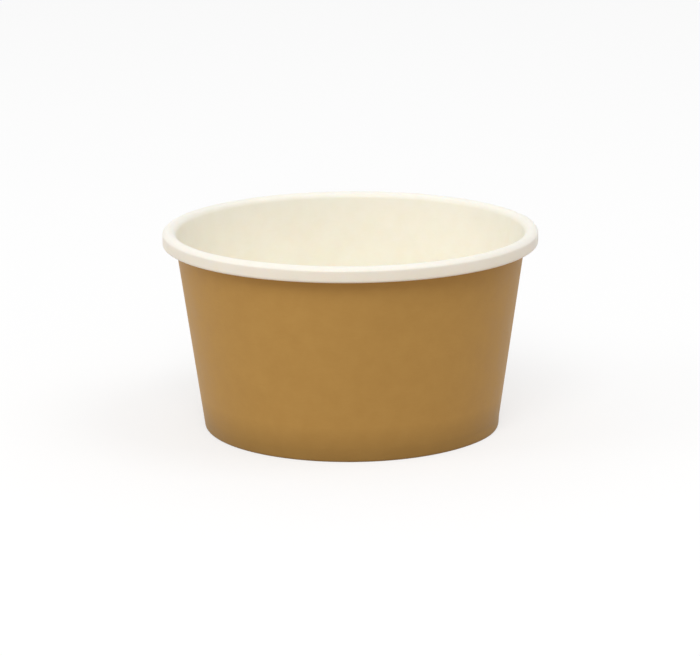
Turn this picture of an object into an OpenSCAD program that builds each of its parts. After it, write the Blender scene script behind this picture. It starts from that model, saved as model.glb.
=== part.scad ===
// Paper ice cream tub: a tapered sidewall of coated board with a rolled rim and a glued side
// seam, and a round base whose turned-down skirt is held in the sidewall's turned-in hem.
// Millimetres, +Z up, origin at the centre of the foot, on the table.

/* [Tub] */
// Diameter over the rolled rim
rim_d = 92; // [82:0.5:130]
// Diameter of the sidewall where it reaches the table
foot_d = 72.7; // [56:0.1:82]
// Height from the table to the top of the rim
tub_h = 49.4; // [30:0.2:90]

/* [Board] */
// Thickness of the sidewall board
wall_t = 0.45; // [0.25:0.01:0.7]
// Thickness of the base board
base_t = 0.4; // [0.25:0.01:0.7]
// Film of sealant between the two boards
seal_t = 0.02; // [0.01:0.005:0.05]

/* [Rolled rim] */
// Width of the roll
roll_w = 3.3; // [3:0.1:5]
// Height of the roll
roll_h = 3.55; // [3:0.05:5]
// Radius over each bend of the roll
roll_r = 1.05; // [0.8:0.05:1.4]
// Gap between the roll's cut edge and the sidewall
roll_gap = 0.1; // [0.05:0.01:0.3]

/* [Foot] */
// Height of the base's underside above the table
recess_h = 6.4; // [4:0.1:12]
// Radius inside the bend between the base and its skirt
bend_r = 0.6; // [0.3:0.05:1.2]
// Gap between the hem's cut edge and the base's bend
hem_gap = 0.4; // [0.2:0.1:2]
// Depth to which the folded edge is pressed flat
foot_press = 0.08; // [0.04:0.01:0.12]

/* [Side seam] */
// Width of the lap at the foot
lap_w = 7; // [5:0.5:12]
// Width of the slope where the outer layer climbs on to the lap
rise_w = 3; // [2:0.25:4]
// Height by which the lap swells the roll
swell = 0.15; // [0.05:0.05:0.3]
// Turn of the roll's first and last bend that the swell leaves clear, in degrees
swell_clear = 40; // [20:5:60]
// Direction of the lap's cut edge, counter-clockwise from +X
seam_at = 8; // [0:1:359]

/* [Hidden] */
$fn = 96;

kraft = "#ab8448";
white = "#f6f1e4";

// Reach of a cutting shape, past everything that it cuts
past = 2 * rim_d;
// Longest turn between two points of a bend, in degrees
bend_step = 7.5;

slot = base_t + 2 * seal_t;
fold_r = slot / 2 + wall_t;

// Sections are drawn as [radius, height]. The roll bends outwards over the mouth, down its
// flat outer face and in again under the rim, about these three centres.
roll_in = roll_r - wall_t;
mouth_c = [rim_d / 2 - roll_w + roll_r, tub_h - roll_r];
brow_c = [rim_d / 2 - roll_r, tub_h - roll_r];
lip_c = [rim_d / 2 - roll_r, tub_h - roll_h + roll_r];

// Lean of the sidewall from upright. Its outer face rises from the edge of the foot and runs
// into the inside of the roll's first bend.
rise = mouth_c - [foot_d / 2, 0];
lean = atan2(rise.x, rise.y) - asin(roll_in / norm(rise));
across = [cos(lean), -sin(lean)];
along = [sin(lean), cos(lean)];

// Under the rim the roll runs in square to the sidewall, and its cut edge stops at the gap.
roll_start = 180 - lean;
roll_end = -90 - lean;
lip_from_mouth = lip_c - mouth_c;
cut_side = roll_gap - roll_in - lip_from_mouth * across;

// The sheet folds about fold_c, midway between the sidewall and its hem, and the fold is flat
// within press_turn of its lowest point.
fold_z = fold_r - foot_press;
fold_c = [foot_d / 2 + fold_z * tan(lean) - fold_r / cos(lean), fold_z];
press_turn = acos(fold_z / fold_r);

// The base bends into its skirt about bend_c, which lies beside the middle of the hem's slot.
bend_side = bend_r + base_t / 2;
bend_up = (recess_h - bend_r - fold_z - bend_side * sin(lean)) / cos(lean);
bend_c = beside(fold_c, -bend_side, bend_up);
hem_l = bend_up - hem_gap;

// The lap follows the sidewall from just over the fold to just under the roll. It reaches its
// full thickness over lap_ease, and its slope runs out on the sidewall within rise_turn.
lap_turn = turn_of(lap_w);
rise_turn = turn_of(1.5 * rise_w);
rise_slope = atan(wall_t / rise_w + rise_w / foot_d);
lap_foot = wall_t;
lap_ease = 2 * wall_t;
lap_top = lip_from_mouth * along - roll_r - roll_gap;

// The place that lies so far across the sidewall and so far along it from the point c
function beside(c, side, up) = c + side * across + up * along;

// The angle of the foot's circle that a width covers
function turn_of(width) = 360 * width / (PI * foot_d);

// Points along an arc about c
function arc(c, r, from, to) =
    let (steps = ceil(abs(to - from) / bend_step))
    [for (i = [0:steps]) let (a = from + (to - from) * i / steps) c + r * [cos(a), sin(a)]];

// Points along the roll's three bends at a radius, less a turn at each end
function roll(r, clear = 0) = concat(
    arc(mouth_c, r, roll_start - clear, 90),
    arc(brow_c, r, 90, 0),
    arc(lip_c, r, 0, roll_end + clear)
);

function reversed(points) = [for (i = [len(points) - 1:-1:0]) points[i]];

// The sidewall's sheet, one strip of board: hem, fold, wall and roll along its outer face, and
// back along its inner face
module sidewall_section() {
    polygon(concat(
        [beside(fold_c, -fold_r, hem_l)],
        arc(fold_c, fold_r, 180 - lean, 270 - press_turn),
        arc(fold_c, fold_r, 270 + press_turn, 360 - lean),
        roll(roll_in),
        [beside(lip_c, cut_side, -roll_in), beside(lip_c, cut_side, -roll_r)],
        reversed(roll(roll_r)),
        arc(fold_c, slot / 2, 360 - lean, 180 - lean),
        [beside(fold_c, -slot / 2, hem_l)]
    ));
}

// The second layer of board in the lap, from the middle of the first layer outwards
module lap_section() {
    polygon([
        beside(fold_c, fold_r - wall_t / 2, lap_foot),
        beside(fold_c, fold_r, lap_foot),
        beside(fold_c, fold_r + wall_t, lap_foot + lap_ease),
        beside(mouth_c, wall_t - roll_in, lap_top),
        beside(mouth_c, -roll_in - wall_t / 2, lap_top)
    ]);
}

// The skin that the lap adds to the roll
module swell_section() {
    polygon(concat(roll(roll_r + swell, swell_clear), reversed(roll(roll_r - wall_t / 2, swell_clear))));
}

// Everything outside the slope on which the outer layer climbs on to the lap
module over_rise() {
    rotate([0, 0, seam_at + lap_turn])
        translate([foot_d / 2 + wall_t / cos(lean), 0, 0])
        rotate([0, lean, 0])
        rotate([0, 0, rise_slope])
        translate([0, -past, -past])
        cube([past, 2 * past, 2 * past]);
}

module sidewall() {
    color(kraft) {
        rotate_extrude() sidewall_section();
        rotate_extrude(angle = lap_turn, start = seam_at) lap_section();
        difference() {
            rotate_extrude(angle = rise_turn, start = seam_at + lap_turn) lap_section();
            over_rise();
        }
        rotate_extrude(angle = lap_turn, start = seam_at) swell_section();
    }
}

// The base's sheet: disc, bend and skirt along its upper face, and back along its lower face
module base_section() {
    polygon(concat(
        [[0, recess_h + base_t]],
        arc(bend_c, bend_r + base_t, 90, -lean),
        [beside(fold_c, base_t / 2, 0), beside(fold_c, -base_t / 2, 0)],
        arc(bend_c, bend_r, -lean, 90),
        [[0, recess_h]]
    ));
}

module base() {
    color(white) rotate_extrude() base_section();
}

sidewall();
base();
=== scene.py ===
from math import asin, atan2, cos, exp, pi, radians, sin, tan

import bmesh
import bpy
from mathutils import Matrix, Vector, noise


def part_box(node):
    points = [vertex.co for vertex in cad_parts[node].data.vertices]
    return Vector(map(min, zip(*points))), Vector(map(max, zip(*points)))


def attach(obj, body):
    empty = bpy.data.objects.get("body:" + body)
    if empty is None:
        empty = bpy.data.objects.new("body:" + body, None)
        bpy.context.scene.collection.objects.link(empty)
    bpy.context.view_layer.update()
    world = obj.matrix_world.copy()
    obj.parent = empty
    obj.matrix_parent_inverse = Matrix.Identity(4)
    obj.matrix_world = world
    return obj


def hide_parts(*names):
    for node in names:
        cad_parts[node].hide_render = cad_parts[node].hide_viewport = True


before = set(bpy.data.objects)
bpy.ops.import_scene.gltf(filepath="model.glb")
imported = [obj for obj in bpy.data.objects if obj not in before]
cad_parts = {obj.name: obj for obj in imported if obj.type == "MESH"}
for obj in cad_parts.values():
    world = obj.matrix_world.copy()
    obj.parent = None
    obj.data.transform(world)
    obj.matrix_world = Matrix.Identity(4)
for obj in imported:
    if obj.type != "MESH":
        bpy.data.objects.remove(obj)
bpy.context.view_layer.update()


# Sidewall: one fan-shaped blank of white board, printed brown outside and coated inside. It is
# wrapped into a cone and glued at a lapped side seam. Its top edge is rolled outwards into the
# rim, and its foot is turned in and up into a hem that holds the skirt of the base.
rim_r = min(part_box("sidewall")[1].xy)
base_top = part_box("base")[1].z
tub_height = 0.0494
foot_r = 0.03635
board = 0.00045
base_board = 0.0004
seal = 0.00002
packed_roll_w = 0.0033
packed_roll_r = 0.00105
bend_r = 0.0006
hem_gap = 0.0004
foot_press = 0.00008

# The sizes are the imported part's, in metres, and points of the section are [radius, height]. The
# wall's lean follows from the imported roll. "across" points out of the wall and "along" up it.
mouth_c = Vector((rim_r - packed_roll_w + packed_roll_r, tub_height - packed_roll_r))
rise = mouth_c - Vector((foot_r, 0))
lean = atan2(rise.x, rise.y) - asin((packed_roll_r - board) / rise.length)
across = Vector((cos(lean), -sin(lean)))
along = Vector((sin(lean), cos(lean)))

# The foot: a fold with a slot for the base's skirt, which comes down from the base's bend.
slot = base_board + 2 * seal
fold_r = slot / 2 + board
fold_z = fold_r - foot_press
fold_c = Vector((foot_r + fold_z * tan(lean) - fold_r / cos(lean), fold_z))
bend_side = bend_r + base_board / 2
bend_z = base_top - base_board - bend_r
bend_up = (bend_z - fold_z - bend_side * sin(lean)) / cos(lean)
bend_c = fold_c - bend_side * across + bend_up * along
hem_length = bend_up - hem_gap
wall_start = fold_c + slot / 2 * across

# The roll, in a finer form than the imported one: a round crown that turns well past its top, and
# a flat outer face between two tight bends. The tail runs in square to the wall and stops short.
crown_r = 0.0018
crown_rise = 0.00005
crown_turn = radians(48)
roll_h = 0.00373
face_r = 0.0006
tail_gap = 0.0001
crown_top = tub_height + crown_rise
crown_c = wall_start + crown_r * across
crown_c += (crown_top - crown_r - crown_c.y) / along.y * along
past_crown = Vector((sin(crown_turn), cos(crown_turn)))
shoulder_x = rim_r - face_r
shoulder_up = (crown_r - face_r - (shoulder_x - crown_c.x) * past_crown.x) / past_crown.y
shoulder_c = Vector((shoulder_x, crown_c.y + shoulder_up))
lip_c = Vector((shoulder_x, crown_top - roll_h + face_r))
tail_end = lip_c - face_r * along + (fold_r + tail_gap - (lip_c - fold_c).dot(across)) * across


def at(section_point):
    """A point of the section, [radius, height], in space."""
    return Vector((section_point.x, 0, section_point.y))


def draw_to(bm, tip, end, steps):
    """Draws the section on from tip to end in equal steps, and returns the new tip."""
    stride = (at(end) - tip.co) / steps
    for _ in range(steps):
        tip = bmesh.ops.extrude_vert_indiv(bm, verts=[tip])["verts"][0]
        bmesh.ops.translate(bm, verts=[tip], vec=stride)
    return tip


def draw_bend(bm, tip, centre, angle, steps):
    """Bends the section on about a centre, clockwise for a positive angle."""
    bent = bmesh.ops.spin(
        bm, geom=[tip], cent=at(centre), axis=(0, 1, 0), angle=angle, steps=steps
    )
    return [v for v in bent["geom_last"] if isinstance(v, bmesh.types.BMVert)][0]


# The sheet in section, drawn along its white face: down the hem, round the fold, up the
# wall and over the roll. Each vertex keeps its place along the sheet.
hem_steps, fold_steps, wall_low_steps, wall_steps = 6, 10, 6, 12
crown_steps, shoulder_steps, face_steps, lip_steps, tail_steps = 14, 6, 4, 8, 4
wall_low = 0.0024

sheet = bmesh.new()
place_of = sheet.verts.layers.int.new("place")
turn_of = sheet.verts.layers.int.new("turn")
tip = sheet.verts.new(at(fold_c - slot / 2 * across + hem_length * along))
tip = draw_to(sheet, tip, fold_c - slot / 2 * across, hem_steps)
tip = draw_bend(sheet, tip, fold_c, -pi, fold_steps)
tip = draw_to(sheet, tip, wall_start + wall_low * along, wall_low_steps)
tip = draw_to(sheet, tip, crown_c - crown_r * across, wall_steps)
tip = draw_bend(sheet, tip, crown_c, pi / 2 - lean + crown_turn, crown_steps)
tip = draw_to(sheet, tip, shoulder_c + face_r * past_crown, 1)
tip = draw_bend(sheet, tip, shoulder_c, pi / 2 - crown_turn, shoulder_steps)
tip = draw_to(sheet, tip, lip_c + Vector((face_r, 0)), face_steps)
tip = draw_bend(sheet, tip, lip_c, pi / 2 + lean, lip_steps)
draw_to(sheet, tip, tail_end, tail_steps)
sheet.verts.index_update()
section = [v.co.copy() for v in sheet.verts]
for v in sheet.verts:
    v[place_of] = v.index
wall_first = hem_steps + fold_steps
roll_first = wall_first + wall_low_steps + wall_steps
tail_first = len(section) - 1 - tail_steps

# Wrapping: the section is spun a full turn and the width of the lap on top, so the sheet
# has two free edges at the side seam. The first stretch is the layer that lies outside.
full_turn = 540
step = radians(360 / full_turn)
seam_at = Matrix.Rotation(radians(8), 3, "Z")
lap_steps, rise_steps = 17, 8
turns = full_turn + lap_steps
bmesh.ops.rotate(sheet, verts=sheet.verts[:], cent=(0, 0, 0), matrix=seam_at)
bmesh.ops.spin(
    sheet, geom=sheet.verts[:] + sheet.edges[:], cent=(0, 0, 0), axis=(0, 0, 1),
    angle=turns * step, steps=turns,
)
sheet.verts.index_update()
for v in sheet.verts:
    v[turn_of] = v.index // len(section)


def ease(x):
    """A smooth step from 0 to 1 as x goes from 0 to 1."""
    x = min(max(x, 0), 1)
    return x * x * (3 - 2 * x)


# The lap: the outer layer lies a board's thickness out from the inner one, comes down on to
# the wall past the inner layer's edge, and is pressed thin in the fold and in the roll.
glue = 0.00001
lap_lift = board + glue
pressed, in_hem, in_roll = 0.05, 0.35, 0.5
hem_ease, roll_ease = 3, crown_steps / 2
lap_foot, lap_shoulder = 0.0006, 0.0011


def lap_share(place):
    """How much of its full height the lap has at a place along the sheet."""
    if place < hem_steps:
        return pressed + (in_hem - pressed) * ease((hem_steps - place) / hem_ease)
    if place <= wall_first:
        return pressed
    if place >= roll_first:
        return 1 + (in_roll - 1) * ease((place - roll_first) / roll_ease)
    up = (section[place] - section[wall_first]).length
    return pressed + (1 - pressed) * ease((up - lap_foot) / lap_shoulder)


# The roll swells a little over the lap, its tail makes room for the lap, and the foot of the
# wall is a little fuller in front of the seam.
roll_swell = 0.00008
swell_turns, swell_places = 5, 6
bulge, bulge_at, bulge_width = 0.0004, radians(-22), radians(16)
bulge_low, bulge_high = 0.0003, 0.0026
shares = [lap_share(place) for place in range(len(section))]
sheet.normal_update()
for v in sheet.verts:
    place, turn = v[place_of], v[turn_of]
    outward = Vector((v.co.x, v.co.y, 0)).normalized()
    over = ease((lap_steps + rise_steps - turn) / rise_steps)
    shift = -v.normal * lap_lift * shares[place] * over
    if place > tail_first:
        beside_lap = max(over, ease((turn - turns + lap_steps + rise_steps) / rise_steps))
        out = outward * across.x + Vector((0, 0, across.y))
        shift += out * lap_lift * beside_lap * (place - tail_first) / tail_steps
    if place > roll_first:
        in_lap = turn < lap_steps or turn > turns - lap_steps
        from_edge = min(turn, turns - turn) if in_lap else 0
        swell = v.normal * roll_swell * ease(from_edge / swell_turns)
        shift += swell * ease((place - roll_first) / swell_places)
    if place > wall_first - fold_steps // 2 and v.co.z < bulge_high:
        aside = (atan2(v.co.y, v.co.x) - bulge_at) / bulge_width
        window = ease(v.co.z / bulge_low) * ease((bulge_high - v.co.z) / (bulge_high - bulge_low))
        shift += outward * bulge * window * exp(-aside * aside)
    v.co += shift


def thicken(bm, thickness):
    """Adds the back of a drawn sheet and its cut edges. The drawn face gets material 0, the
    back 1 and the cut edges 2, with a sharp line between them."""
    front = set(bm.faces)
    made = bmesh.ops.solidify(bm, geom=bm.faces[:], thickness=thickness)
    back = {f for f in made["geom"] if isinstance(f, bmesh.types.BMFace)}
    for f in bm.faces:
        f.smooth = True
        f.material_index = 0 if f in front else 1 if f in back else 2
    for e in bm.edges:
        e.smooth = len({f.material_index for f in e.link_faces}) == 1


# Thickness: the brown face lies a board's thickness behind the white one. On that face the
# fold is pressed flat where it meets the table, a little higher for the lap's inner layer, and
# the hem has the grooves of the knurl.
white_verts = set(sheet.verts)
thicken(sheet, board)
groove = (0.0, 0.45, 1.0, 1.0, 0.45, 0.0)
knurl_depth = 0.00014
knurl_ease = 1.5
knurl_share = [
    ease(place / knurl_ease) * ease((hem_steps - place) / knurl_ease) for place in range(hem_steps + 1)
]
under_layer = 0.00003
sheet.normal_update()
for v in sheet.verts:
    if v in white_verts:
        continue
    place, turn = v[place_of], v[turn_of]
    if place <= hem_steps:
        v.co -= v.normal * knurl_depth * knurl_share[place] * groove[turn % len(groove)]
    lowest = under_layer if turn > turns - lap_steps else 0
    v.co.z = max(v.co.z, lowest)

# The sheet's own map, in metres along the wrap and along the section
section_length = [0.0]
for a, b in zip(section, section[1:]):
    section_length.append(section_length[-1] + (b - a).length)
mean_r = (rim_r + foot_r) / 2
sheet_map = sheet.loops.layers.uv.new("sheet")
for f in sheet.faces:
    for loop in f.loops:
        place, turn = loop.vert[place_of], loop.vert[turn_of]
        loop[sheet_map].uv = (turn * step * mean_r, section_length[place])


def piece_from(bm, name):
    """Makes the finished mesh an object of the scene."""
    mesh = bpy.data.meshes.new(name)
    bm.to_mesh(mesh)
    bm.free()
    piece = bpy.data.objects.new(name, mesh)
    bpy.context.scene.collection.objects.link(piece)
    return piece


sidewall = piece_from(sheet, "tub_sidewall")


class Finish:
    """The nodes of a material or of the room, added and wired one by one."""

    # The colour sockets of a Mix node
    mix_a, mix_b, mix_out = 6, 7, 2

    def __init__(self, owner):
        owner.use_nodes = True
        self.tree = owner.node_tree
        self.shader = self.tree.nodes.get("Principled BSDF")

    def add(self, kind, settings=None, **inputs):
        node = self.tree.nodes.new("ShaderNode" + kind)
        for key, value in (settings or {}).items():
            setattr(node, key, value)
        for key, value in inputs.items():
            self.wire(value, node.inputs[key.replace("_", " ")])
        return node

    def wire(self, value, socket):
        if isinstance(value, bpy.types.NodeSocket):
            self.tree.links.new(value, socket)
        else:
            socket.default_value = value

    def noise(self, coords, scale, detail=2.0, roughness=0.5, stretch=(1, 1, 1), turn=0.0):
        """A grey noise whose grains are about 1/scale metres, stretched and turned."""
        mapped = self.add("Mapping", Vector=coords, Scale=stretch, Rotation=(0, 0, turn))
        lie = mapped.outputs["Vector"]
        made = self.add("TexNoise", Vector=lie, Scale=scale, Detail=detail, Roughness=roughness)
        return made.outputs["Fac"]

    def spread(self, value, low, high, to_low, to_high):
        """Maps a grey value's range to another, held at its ends."""
        made = self.add(
            "MapRange", Value=value, From_Min=low, From_Max=high, To_Min=to_low, To_Max=to_high
        )
        return made.outputs["Result"]

    def combine(self, a, b, operation="ADD"):
        made = self.add("Math", {"operation": operation})
        self.wire(a, made.inputs[0])
        self.wire(b, made.inputs[1])
        return made.outputs["Value"]

    def mix(self, factor, a, b, blend="MIX"):
        made = self.add("Mix", {"data_type": "RGBA", "blend_type": blend}, Factor=factor)
        self.wire(a, made.inputs[self.mix_a])
        self.wire(b, made.inputs[self.mix_b])
        return made.outputs[self.mix_out]

    def bump(self, height, distance, strength=1.0, under=None):
        made = self.add("Bump", Height=height, Distance=distance, Strength=strength)
        if under is not None:
            self.wire(under, made.inputs["Normal"])
        return made.outputs["Normal"]


# Finishes of the board. Every face of paper has cloudy formation, fine fibres that lie mostly
# along the sheet, and a slight waviness; coating and print change colour and gloss.
wave_grain, cloud_grain, fine_grain = 70.0, 210.0, 2600.0
fibre_a_grain, fibre_a_stretch, fibre_a_turn = 900.0, (0.35, 2.6, 1), radians(17)
fibre_b_grain, fibre_b_stretch, fibre_b_turn = 1000.0, (0.45, 2.8, 1), radians(-24)
fibre_share, even_share = 0.35, 0.3
cloud_gloss, grain_gloss = 0.05, 0.03
wave_depth, fibre_depth = 0.00025, 0.00002
coat_rough = 0.3
through_tint, through_depth = (1.0, 0.8, 0.6), 0.0003


def board_face(name, tones, specular, rough, through=0.5, coat=0.0, marks_and_painted_light=None):
    """A face of paperboard: formation and fibres between a dark and a pale tone about its
    colour, and marks along the sheet given by the caller: wear, and painted light and shade."""
    colour, dark, pale = tones
    material = bpy.data.materials.new(name)
    n = Finish(material)
    place = n.add("TexCoord").outputs["Object"]
    lie = n.add("UVMap", {"uv_map": "sheet"}).outputs["UV"]
    clouds = n.noise(place, cloud_grain, detail=4.0, roughness=0.6)
    grain = n.noise(place, fine_grain, detail=2.0, roughness=0.6)
    fibre_a = n.noise(lie, fibre_a_grain, detail=1.0, stretch=fibre_a_stretch, turn=fibre_a_turn)
    fibre_b = n.noise(lie, fibre_b_grain, detail=1.0, stretch=fibre_b_stretch, turn=fibre_b_turn)
    fibres = n.combine(fibre_a, fibre_b, "MULTIPLY")
    tone = n.mix(n.spread(clouds, 0.3, 0.7, 0.0, 1.0), dark, pale)
    tone = n.mix(n.spread(fibres, 0.30, 0.42, 0.0, fibre_share), tone, pale)
    tone = n.mix(n.spread(fibres, 0.19, 0.12, 0.0, fibre_share), tone, dark)
    tone = n.mix(even_share, tone, colour)
    if marks_and_painted_light:
        tone = marks_and_painted_light(n, n.add("SeparateXYZ", Vector=lie).outputs["Y"], lie, tone)
    n.wire(tone, n.shader.inputs["Base Color"])
    cloudy = n.spread(clouds, 0.25, 0.75, rough - cloud_gloss, rough + cloud_gloss)
    grainy = n.spread(grain, 0.3, 0.7, -grain_gloss, grain_gloss)
    n.wire(n.combine(cloudy, grainy), n.shader.inputs["Roughness"])
    waves = n.noise(place, wave_grain, detail=1.0)
    normal = n.bump(waves, wave_depth, 0.5)
    relief = n.combine(fibres, n.combine(grain, 0.5, "MULTIPLY"))
    normal = n.bump(relief, fibre_depth, 0.6, normal)
    n.wire(normal, n.shader.inputs["Normal"])
    n.shader.inputs["Specular IOR Level"].default_value = specular
    n.shader.inputs["Coat Weight"].default_value = coat
    n.shader.inputs["Coat Roughness"].default_value = coat_rough
    n.shader.inputs["Subsurface Weight"].default_value = through
    n.shader.inputs["Subsurface Radius"].default_value = through_tint
    n.shader.inputs["Subsurface Scale"].default_value = through_depth
    return material


# White inside face, which also shows on the roll. Its colour carries painted light: it is a little
# greyer under the rim as painted shade, a little whiter over the crown as a painted highlight, and a
# little darker on the roll's outer face as painted shade.
white_tones = (0.941, 0.903, 0.79, 1), (0.924, 0.884, 0.759, 1), (0.956, 0.924, 0.822, 1)
crown_painted_highlight = (0.962, 0.966, 1.0, 1)
face_painted_shade = (0.962, 0.955, 0.95, 1)
rim_painted_shade, rim_shade_height = 0.09, 0.016
crown_blend, face_blend = 0.0014, 0.0011
roll_start_up = section_length[roll_first]
crown_to = section_length[roll_first + crown_steps]


# Painted shade on the inside wall below the rim, a painted highlight over the crown, and painted shade
# on the roll's outer face.
def painted_roll_light(n, up, lie, tone):
    wall_painted_shade = n.spread(up, roll_start_up - rim_shade_height, roll_start_up, 1.0, 1 - rim_painted_shade)
    on_crown = n.spread(up, roll_start_up, roll_start_up + crown_blend, 0.0, 1.0)
    on_face = n.spread(up, crown_to, crown_to + face_blend, 0.0, 1.0)
    rolled_painted_tone = n.mix(on_crown, wall_painted_shade, crown_painted_highlight)
    rolled_painted_tone = n.mix(on_face, rolled_painted_tone, face_painted_shade)
    return n.mix(1.0, tone, rolled_painted_tone, "MULTIPLY")


white_roll_painted_light = board_face("white_rolled_board_painted_light", white_tones, 0.4, 0.42, coat=0.08, marks_and_painted_light=painted_roll_light)

# Brown printed face: painted shade makes it darker over the hem and towards the fold, and it is rubbed
# bare in spots where the fold stands on the table.
brown_tones = (0.483, 0.277, 0.072, 1), (0.462, 0.261, 0.066, 1), (0.504, 0.293, 0.078, 1)
bare_board = (0.74, 0.66, 0.52, 1)
hem_painted_shade, hem_shade_below, hem_shade_above = 0.22, 0.0024, 0.0036
foot_painted_shade, foot_shade_width = 0.1, 0.003
rub_grain, rub_share = 260.0, 0.4
hem_top = section_length[wall_first] + hem_length
fold_from, fold_to = section_length[hem_steps], section_length[wall_first]
fold_mid = (fold_from + fold_to) / 2


def print_wear_and_painted_shade(n, up, lie, tone):
    # Painted shade: darker over the hem, and darker again at the foot.
    hem_shade = n.spread(up, hem_top - hem_shade_below, hem_top + hem_shade_above, 1 - hem_painted_shade, 1.0)
    foot_shade = n.spread(up, fold_to, fold_to + foot_shade_width, 1 - foot_painted_shade, 1.0)
    tone = n.mix(1.0, tone, n.combine(hem_shade, foot_shade, "MULTIPLY"), "MULTIPLY")
    inner_half = n.spread(up, fold_from, fold_mid, 0.0, 1.0)
    outer_half = n.spread(up, fold_mid, fold_to, 1.0, 0.0)
    standing = n.combine(inner_half, outer_half, "MULTIPLY")
    spots = n.noise(lie, rub_grain, detail=5.0, roughness=0.7)
    rubbed = n.spread(spots, 0.48, 0.68, 0.0, rub_share)
    return n.mix(n.combine(standing, rubbed, "MULTIPLY"), tone, bare_board)


brown_print_painted_shade = board_face("brown_printed_board_painted_shade", brown_tones, 0.22, 0.5, through=0.0, marks_and_painted_light=print_wear_and_painted_shade)

# Cut edges of the board: layered, rough fibre.
edge_dark, edge_pale = (0.62, 0.55, 0.43, 1), (0.85, 0.80, 0.70, 1)
tuft_grain, tuft_depth = 6000.0, 0.00004
edge = bpy.data.materials.new("cut_board_edge")
n = Finish(edge)
place = n.add("TexCoord").outputs["Object"]
tufts = n.noise(place, tuft_grain, detail=3.0, roughness=0.7)
tone = n.mix(n.spread(tufts, 0.3, 0.7, 0.0, 1.0), edge_dark, edge_pale)
n.wire(tone, n.shader.inputs["Base Color"])
n.wire(n.bump(tufts, tuft_depth, 0.8), n.shader.inputs["Normal"])
n.shader.inputs["Roughness"].default_value = 0.9
n.shader.inputs["Specular IOR Level"].default_value = 0.2

for material in (white_roll_painted_light, brown_print_painted_shade, edge):
    sidewall.data.materials.append(material)
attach(sidewall, "root")
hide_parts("sidewall")


# Base: a round blank of white board, coated on top. Its edge is drawn down into a skirt, which
# leaves fine gathers in the bend, and the skirt is sealed between the sidewall and the hem.
disc_steps, bend_steps, skirt_steps, around = 10, 8, 4, 288
gather_depth, gathers = 0.00004, 60
weld = 1e-7
disc = bmesh.new()
place_of = disc.verts.layers.int.new("place")
tip = disc.verts.new((0, 0, base_top))
tip = draw_to(disc, tip, Vector((bend_c.x, base_top)), disc_steps)
tip = draw_bend(disc, tip, bend_c, pi / 2 + lean, bend_steps)
draw_to(disc, tip, fold_c + base_board / 2 * across, skirt_steps)
disc.verts.index_update()
for v in disc.verts:
    v[place_of] = v.index
bmesh.ops.spin(
    disc, geom=disc.verts[:] + disc.edges[:], cent=(0, 0, 0), axis=(0, 0, 1),
    angle=2 * pi, steps=around, use_merge=True,
)
bmesh.ops.remove_doubles(disc, verts=disc.verts[:], dist=weld)
disc.normal_update()
if max(disc.faces, key=lambda f: f.calc_center_median().z).normal.z < 0:
    bmesh.ops.reverse_faces(disc, faces=disc.faces[:])
disc.normal_update()
for v in disc.verts:
    bend = max(0.0, 1 - abs(v[place_of] - disc_steps - bend_steps / 2) / bend_steps)
    wrinkle = noise.noise(Vector((v.co.x, v.co.y, 0)).normalized() * gathers)
    v.co -= v.normal * gather_depth * ease(bend) * max(0.0, wrinkle)
thicken(disc, base_board)
disc_map = disc.loops.layers.uv.new("sheet")
for f in disc.faces:
    for loop in f.loops:
        loop[disc_map].uv = loop.vert.co.xy
base = piece_from(disc, "tub_base")

plain_tones = (0.83, 0.80, 0.73, 1), (0.79, 0.755, 0.68, 1), (0.86, 0.835, 0.77, 1)
white_coated = board_face("white_coated_board", white_tones, 0.4, 0.42, coat=0.08)
white_plain = board_face("white_plain_board", plain_tones, 0.25, 0.72)
for material in (white_coated, white_plain, edge):
    base.data.materials.append(material)
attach(base, "root")
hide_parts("base")


# Floor: a plain white table top. To the camera, and in gloss, over half of it is white of its
# own accord and the rest is lit, so the background is white and the tub's soft shadow stays.
floor_half = 6.0
bounce = (0.53, 0.44, 0.39, 1)
own_white = 0.6
lit = 1 - own_white
floor_mesh = bmesh.new()
bmesh.ops.create_grid(floor_mesh, x_segments=1, y_segments=1, size=floor_half)
floor = piece_from(floor_mesh, "floor")


def seen_rays(n):
    """1 for the rays of the camera, of gloss and of clear things, else 0."""
    path = n.add("LightPath").outputs
    gloss_or_clear = n.combine(path["Is Glossy Ray"], path["Is Transmission Ray"], "MAXIMUM")
    return n.combine(path["Is Camera Ray"], gloss_or_clear, "MAXIMUM")


table = bpy.data.materials.new("white_table")
n = Finish(table)
seen = seen_rays(n)
n.wire(n.mix(seen, bounce, (lit, lit, lit, 1)), n.shader.inputs["Base Color"])
n.shader.inputs["Emission Color"].default_value = (1, 1, 1, 1)
n.wire(n.combine(seen, own_white, "MULTIPLY"), n.shader.inputs["Emission Strength"])
n.shader.inputs["Roughness"].default_value = 0.9
n.shader.inputs["Specular IOR Level"].default_value = 0.0
floor.data.materials.append(table)


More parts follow.
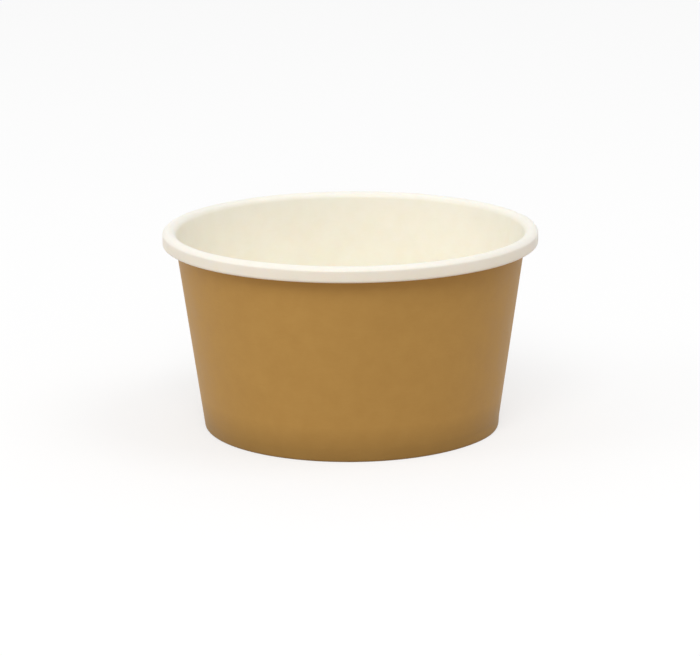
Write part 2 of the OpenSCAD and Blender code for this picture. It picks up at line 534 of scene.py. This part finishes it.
# Light: a large soft lamp high in front, a weaker one low on the left, a weak one high on the
# right, and an even white room.
lamp_aim = Vector((0, 0, 0.03))
room_light = 0.648


def soft_lamp(name, place, size, power):
    light = bpy.data.lights.new(name, "AREA")
    light.size = size
    light.energy = power
    lamp = bpy.data.objects.new(name, light)
    lamp.location = place
    lamp.rotation_mode = "QUATERNION"
    lamp.rotation_quaternion = (lamp_aim - Vector(place)).to_track_quat("-Z", "Y")
    bpy.context.scene.collection.objects.link(lamp)


soft_lamp("key", (-0.3, -1.8, 1.8), 1.2, 20.8)
soft_lamp("side", (-2.4, -0.6, 0.9), 1.2, 10.6)
soft_lamp("fill", (1.0, -0.3, 1.95), 1.0, 6.4)

room = bpy.data.worlds.new("room")
bpy.context.scene.world = room
n = Finish(room)
walls = n.tree.nodes["Background"]
walls.inputs["Color"].default_value = (1, 1, 1, 1)
n.wire(n.spread(seen_rays(n), 0.0, 1.0, room_light, 1.0), walls.inputs["Strength"])


# Camera: a long lens a little above the rim, at the photograph's viewing angle. Its aim falls
# on the same pixel as in the photograph, and it is rolled by the photograph's slight tilt.
photo_w = 700
focal_px = 3000
sensor = 36.0
camera_away = 0.7412
camera_up = radians(13.85)
camera_roll = radians(-0.42)
aim = Vector((0, 0, 0.02373))
aim_at_px = Vector((351.0, 328.6))
centre_px = Vector((350.0, 328.0))
lens = bpy.data.cameras.new("camera")
lens.sensor_width = sensor
lens.lens = sensor * focal_px / photo_w
lens.shift_x = (centre_px.x - aim_at_px.x) / photo_w
lens.shift_y = (aim_at_px.y - centre_px.y) / photo_w
camera = bpy.data.objects.new("camera", lens)
away = Vector((0, -cos(camera_up), sin(camera_up)))
camera.location = aim + camera_away * away
turned = (-away).to_track_quat("-Z", "Y").to_matrix() @ Matrix.Rotation(camera_roll, 3, "Z")
camera.rotation_mode = "QUATERNION"
camera.rotation_quaternion = turned.to_quaternion()
bpy.context.scene.collection.objects.link(camera)
bpy.context.scene.camera = camera
bpy.context.scene.view_settings.view_transform = "Standard"
